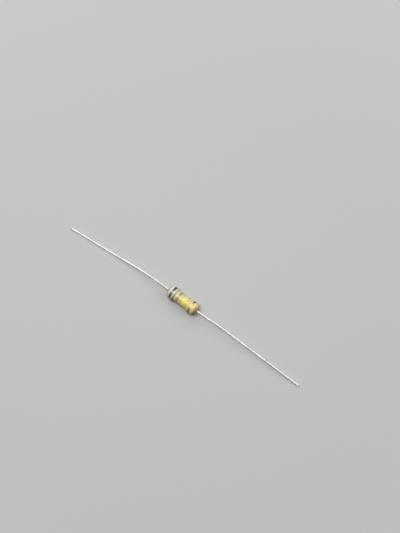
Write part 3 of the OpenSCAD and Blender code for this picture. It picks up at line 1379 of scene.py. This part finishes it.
@dataclass
class Lead:
    """A tinned lead, modelled straight and then bent along its route."""

    side: Side
    survey: Survey
    bends: Corners
    weld: Weld = Weld()
    sides: int = 48
    rings: int = 220
    curve_steps: int = 64
    shear: float = 12.0
    crush: float = 38.0
    crush_depth: float = 0.1 * MM
    burr: float = 0.018 * MM
    pinch_reach: float = 0.7 * MM
    pinch: tuple[float, float] = (1.1, 0.93)
    sways: tuple[Ripple, ...] = (
        Ripple(5.0 * MM, 0.012 * MM, "Z", 0.1), Ripple(4.0 * MM, 0.012 * MM, "Y")
    )
    sway_from: float = 2 * MM
    sway_ease: float = 6 * MM
    crease: float = 35.0
    piece: Piece | None = field(default=None, init=False)
    length: float = field(default=0.0, init=False)

    def build(self, wire: Material, cut: Material) -> Piece:
        """Models the lead and lays it along its route.

        Args:
            wire: Finish of the wire.
            cut: Finish of its sheared end.

        Returns:
            The lead, in its place.
        """
        curve = self.draw_route()
        self.model_straight()
        self.shear_tip()
        self.mark_cut()
        Bench.weigh(self.piece, "outer", self.outer_weight)
        for sway in self.sways:
            sway.push(self.piece, "outer")
        straight = self.piece.data.attributes.new("straight", "FLOAT_VECTOR", "POINT")
        straight.data.foreach_set("vector", [value for v in self.piece.data.vertices for value in v.co])
        Bench.modify(self.piece, "CURVE", object=curve, deform_axis="POS_X")
        bpy.data.objects.remove(curve)
        Bench.settle(self.piece, (0, 0, 0), self.crease)
        fit(self.piece, f"{self.side.value}_lead", [wire, cut])
        return self.piece

    def draw_route(self) -> Piece:
        """Draws the route as a curve whose bends are arcs, and measures it.

        Returns:
            The curve, from the cap to the tip.
        """
        start = self.survey.middle + Vector((self.side.outwards * self.survey.cap_face, 0, 0))
        corners = [(start, 0.0)] + self.bends
        knots: list[tuple[Vector, Vector, float, float]] = []
        for index, (corner, radius) in enumerate(corners):
            before = (corner - corners[index - 1][0]).normalized() if index else None
            after = (corners[index + 1][0] - corner).normalized() if index < len(corners) - 1 else None
            if before is None or after is None or not radius:
                knots.append((corner, after or before, 0.0, 0.0))
                continue
            angle = before.angle(after)
            reach, handle = radius * math.tan(angle / 2), radius * math.tan(angle / 4) * 4 / 3
            knots.append((corner - before * reach, before, 0.0, handle))
            knots.append((corner + after * reach, after, handle, 0.0))
            self.length += radius * angle
        Bench.clear()
        bpy.ops.curve.primitive_bezier_curve_add(location=(0, 0, 0))
        curve = Bench.name(f"{self.side.value}_route")
        curve.data.dimensions = "3D"
        spline = curve.data.splines[0]
        spline.bezier_points.add(len(knots) - 2)
        spline.resolution_u = self.curve_steps
        for index, (place, heading, back, forth) in enumerate(knots):
            point = spline.bezier_points[index]
            point.handle_left_type = point.handle_right_type = "FREE"
            run_back = (place - knots[index - 1][0]).length if index else 0.0
            run_forth = (knots[index + 1][0] - place).length if index < len(knots) - 1 else 0.0
            point.co = place
            point.handle_left = place - heading * (back or run_back / 3 or MM)
            point.handle_right = place + heading * (forth or run_forth / 3 or MM)
            self.length += 0.0 if back else run_back
        return curve

    def model_straight(self) -> None:
        """Models the weld and the straight wire along X, from the cap outwards."""
        weld = self.weld
        Bench.clear()
        bpy.ops.mesh.primitive_circle_add(
            vertices=self.sides, radius=weld.radius, fill_type="NGON", rotation=(0, QUARTER, 0)
        )
        self.piece = lead = Bench.move(Bench.name(f"{self.side.value}_wire"))
        Bench.edit(lead, "FACE", "SELECT")
        bpy.ops.mesh.extrude_region_move(TRANSFORM_OT_translate={"value": (weld.drum, 0, 0)})
        bpy.ops.mesh.extrude_region_move(TRANSFORM_OT_translate={"value": (weld.cone, 0, 0)})
        share = self.survey.wire_r / weld.radius
        bpy.ops.transform.resize(value=(1, share, share), center_override=(weld.drum + weld.cone, 0, 0))
        rest = self.length - weld.drum - weld.cone
        bpy.ops.mesh.extrude_region_move(TRANSFORM_OT_translate={"value": (rest, 0, 0)})
        Bench.close(lead)
        at = [vertex.co.x for vertex in lead.data.vertices]
        Bench.pick(
            lead, "EDGE", lambda edge: abs(at[edge.vertices[0]] - at[edge.vertices[1]]) > rest / 2
        )
        bpy.ops.mesh.subdivide(number_cuts=self.rings)
        Bench.close(lead)

    def shear_tip(self) -> None:
        """Shears the end, crushes its upper edge and pinches the wire a little behind it."""
        lead, radius, end = self.piece, self.survey.wire_r, self.length
        Bench.cut(lead, (end, 0, -radius), self.shear)
        top = end - 2 * radius * math.tan(math.radians(self.shear))
        Bench.cut(lead, (top - self.crush_depth, 0, radius), self.crush)
        Bench.pick(lead, "FACE", self.is_cut)
        bpy.ops.mesh.bevel(offset=self.burr, segments=2, profile=0.6, affect="EDGES")
        Bench.pick(lead, "VERT", lambda v: v.co.x > end - self.pinch_reach / 3)
        bpy.ops.transform.resize(
            value=(1, *self.pinch), center_override=(end, 0, -radius), use_proportional_edit=True,
            proportional_edit_falloff="SMOOTH", proportional_size=self.pinch_reach,
        )
        Bench.close(lead)

    def mark_cut(self) -> None:
        """Gives the sheared face the second material slot."""
        for _ in range(2):
            self.piece.data.materials.append(None)
        for face in self.piece.data.polygons:
            face.material_index = int(self.is_cut(face))

    def is_cut(self, face: bpy.types.MeshPolygon) -> bool:
        """Tells whether a face of the straight lead belongs to its sheared end."""
        return face.normal.x > 0.5 and face.center.x > self.length / 2

    def outer_weight(self, place: Vector) -> float:
        """Weighs the stretch that may sway, clear of the body and of the tip."""
        rise = smooth_step((place.x - self.sway_from) / self.sway_ease)
        return rise * smooth_step((self.length - place.x) / self.sway_ease)


@dataclass(frozen=True)
class Lie:
    """How handling left the leads: where each one bends, and which way it runs from there."""

    survey: Survey
    body_half: float
    exit_at: float = 0.5 * MM
    exit_r: float = 4 * MM
    bend_r: float = 30 * MM
    left_length: float = 30.3 * MM
    left_bend_at: float = 7.4 * MM
    left_bend_r: float = 90 * MM
    left_touch_at: float = 16.6 * MM
    left_swing: float = 6.0
    right_length: float = 29.9 * MM
    right_kick: float = 3.7
    right_bend_at: float = 7.0 * MM
    right_swing: float = 1.2

    @staticmethod
    def heading(turn: float, slope: float = 0.0) -> Vector:
        """Returns the direction that turns so many degrees from +X and falls by a slope in radians."""
        level = Vector((math.cos(math.radians(turn)), math.sin(math.radians(turn)), 0))
        return math.cos(slope) * level - Vector((0, 0, math.sin(slope)))

    @property
    def fall(self) -> float:
        """Height of the body's axis above that of a wire on the table."""
        return self.survey.middle.z - self.survey.wire_r

    @property
    def exit(self) -> Vector:
        """Where a lead first bends, from the middle of the body towards +X."""
        return Vector((self.body_half + self.exit_at, 0, 0))

    def left(self) -> Corners:
        """Lays out the left lead, which slopes down, turns aside and then lies on the table.

        Returns:
            Its corners and its tip, with bend radii.
        """
        slope = math.asin(self.fall / (self.left_touch_at - self.exit_at))
        bend = self.exit + (self.left_bend_at - self.exit_at) * self.heading(0, slope)
        touch = bend + (self.left_touch_at - self.left_bend_at) * self.heading(self.left_swing, slope)
        tip = touch + (self.left_length - self.left_touch_at) * self.heading(self.left_swing)
        corners = [(self.exit, self.exit_r), (bend, self.left_bend_r), (touch, self.bend_r), (tip, 0.0)]
        return [(self.survey.middle + Vector((-p.x, -p.y, p.z)), r) for p, r in corners]

    def right(self) -> Corners:
        """Lays out the right lead, which leaves a little aside and slopes down to its tip.

        Returns:
            Its corners and its tip, with bend radii.
        """
        outer = self.right_length - self.right_bend_at
        slope = math.asin(self.fall / outer)
        bend = self.exit + (self.right_bend_at - self.exit_at) * self.heading(self.right_kick)
        tip = bend + outer * self.heading(self.right_swing, slope)
        corners = [(self.exit, self.exit_r), (bend, self.bend_r), (tip, 0.0)]
        return [(self.survey.middle + p, r) for p, r in corners]


# ---- The studio ----


@dataclass(frozen=True)
class Lamp:
    """A soft rectangular lamp that faces the object, with one side level along X."""

    name: str
    towards: tuple[float, float, float]
    size: tuple[float, float]
    power: float
    distance: float = 0.45

    def build(self) -> None:
        """Hangs the lamp."""
        Bench.clear()
        bpy.ops.object.light_add(type="AREA")
        lamp = Bench.name(self.name)
        lamp.data.shape = "RECTANGLE"
        lamp.data.size, lamp.data.size_y = self.size
        lamp.data.energy = self.power
        away = Vector(self.towards).normalized()
        level = (Vector((1, 0, 0)) - away.x * away).normalized()
        lamp.location = away * self.distance
        lamp.rotation_mode = "QUATERNION"
        lamp.rotation_quaternion = Matrix((level, away.cross(level), away)).transposed().to_quaternion()


@dataclass
class Studio:
    """A pale floor that runs into a pale backdrop, three soft lamps and the camera."""

    azimuth: float = 38.43
    elevation: float = 70.0
    aim: tuple[float, float, float] = (-2.437 * MM, 10.35 * MM, 0.0)
    distance: float = 173.96 * MM
    sensor: float = 36.0
    lens: float = 47.28
    clip_start: float = 0.01
    floor_r: float = 3.0
    floor_sides: int = 96
    floor_tone: float = 0.62
    bounce_tone: float = 0.12
    backdrop_tone: float = 0.6
    backdrop_from: float = 0.045
    backdrop_full: float = 0.15
    fill: float = 0.07
    lamps: tuple[Lamp, ...] = (
        Lamp("left_lamp", (-0.65, 0.5, 0.66), (0.36, 0.36), 0.54),
        Lamp("right_lamp", (0.5, 0.55, 0.72), (0.36, 0.36), 0.48),
        Lamp("glint_lamp", (-0.17, -0.1, 0.96), (0.32, 0.2), 1.2),
    )

    def build(self) -> None:
        """Builds the floor, the lamps, the world and the camera."""
        self.build_floor()
        for lamp in self.lamps:
            lamp.build()
        self.build_world()
        self.build_camera()
        bpy.context.scene.view_settings.view_transform = "Standard"

    def build_floor(self) -> None:
        """Lays a wide round floor, whose far part shows as the backdrop."""
        Bench.clear()
        bpy.ops.mesh.primitive_circle_add(
            vertices=self.floor_sides, radius=self.floor_r, fill_type="NGON"
        )
        floor = Bench.name("floor")
        wiring = MaterialWiring("pale_floor")
        seen = wiring.seen()
        tone = wiring.blend(seen, grey(self.bounce_tone), grey(self.floor_tone))
        near = wiring.add("BsdfDiffuse", {"Color": tone}).outputs[0]
        far = wiring.add("Emission", {"Color": grey(self.backdrop_tone), "Strength": 1.0}).outputs[0]
        place = wiring.add("TexCoord").outputs["Object"]
        away = wiring.add("VectorMath", {0: place}, operation="LENGTH").outputs["Value"]
        share = wiring.spread(away, self.backdrop_from, self.backdrop_full, 0.0, 1.0, smooth=True)
        mixed = wiring.add("MixShader", {0: wiring.math("MULTIPLY", share, seen), 1: near, 2: far})
        wiring.add("OutputMaterial", {"Surface": mixed.outputs[0]})
        floor.data.materials.append(wiring.material)

    def build_world(self) -> None:
        """Fills the room with plain light, and shows the backdrop's tone behind everything."""
        world = bpy.data.worlds.new("room")
        world.use_nodes = True
        bpy.context.scene.world = world
        wiring = Wiring(world.node_tree)
        fill = wiring.add("Background", {"Color": grey(1.0), "Strength": self.fill}).outputs[0]
        shown = wiring.add("Background", {"Color": grey(1.0), "Strength": self.backdrop_tone}).outputs[0]
        mixed = wiring.add("MixShader", {0: wiring.seen(), 1: fill, 2: shown})
        wiring.add("OutputWorld", {"Surface": mixed.outputs[0]})

    def build_camera(self) -> None:
        """Stands the camera above the table, looking down along its azimuth and elevation."""
        Bench.clear()
        bpy.ops.object.camera_add()
        camera = Bench.name("camera")
        turn, rise = math.radians(self.azimuth), math.radians(self.elevation)
        back = Vector((
            math.sin(turn) * math.cos(rise), -math.cos(turn) * math.cos(rise), math.sin(rise)
        ))
        camera.location = Vector(self.aim) + back * self.distance
        camera.rotation_mode = "QUATERNION"
        camera.rotation_quaternion = (-back).to_track_quat("-Z", "Y")
        camera.data.sensor_width = self.sensor
        camera.data.lens = self.lens
        camera.data.clip_start = self.clip_start
        bpy.context.scene.camera = camera


# Each band's top is painted lighter as a highlight: the gold fully, the blue nearly, the grey in part.
BLUE = PaintFinish("blue_paint", (12, 20, 12), (88, 94, 84), roughness=0.28, ior=1.93, painted_top_highlight=0.9)
GREY = PaintFinish(
    "grey_paint", (142, 122, 83), (227, 203, 142), coverage=0.72, roughness=0.27, ior=1.9, painted_top_highlight=0.42
)
YELLOW = PaintFinish("yellow_paint", (255, 245, 128), (240, 233, 132), roughness=0.48, ior=1.55)
GOLD = PaintFinish(
    "gold_paint", (112, 96, 54), (236, 217, 152), coverage=0.88, roughness=0.45, ior=1.8, faded=0.5,
    painted_top_highlight=1.0, highlight_side=(0.0, -0.08, 0.997), kind=PaintKind.METALLIC,
)

BANDS: tuple[ColourBand, ...] = (
    ColourBand("first_digit_band", "blue_paint", BLUE, 0.1 * MM, 3 * MM, lean=(0.0, 0.13 * MM)),
    ColourBand("second_digit_band", "grey_paint", GREY, 0.12 * MM, 11 * MM),
    ColourBand("multiplier_band", "yellow_paint", YELLOW, 0.12 * MM, 17 * MM),
    ColourBand("tolerance_band", "gold_paint", GOLD, 0.1 * MM, 23 * MM, lean=(0.1 * MM, 0.15 * MM)),
)


def main() -> None:
    """Builds the studio and then the resistor from the inside out."""
    logging.basicConfig(level=logging.INFO, format="%(name)s: %(message)s")
    Studio().build()
    survey = Survey()
    Insides(survey).build()
    coat = LacquerCoat(survey)
    fit(coat.build(), "lacquer_coating", [LacquerFinish().build(survey)])
    for band in BANDS:
        band.build(survey, coat)
    lie = Lie(survey, coat.body_half)
    wire, cut = WireFinish().build(), CutFinish().build(survey.wire_r)
    Lead(Side.LEFT, survey, lie.left()).build(wire, cut)
    Lead(Side.RIGHT, survey, lie.right()).build(wire, cut)


if __name__ == "__main__":
    main()
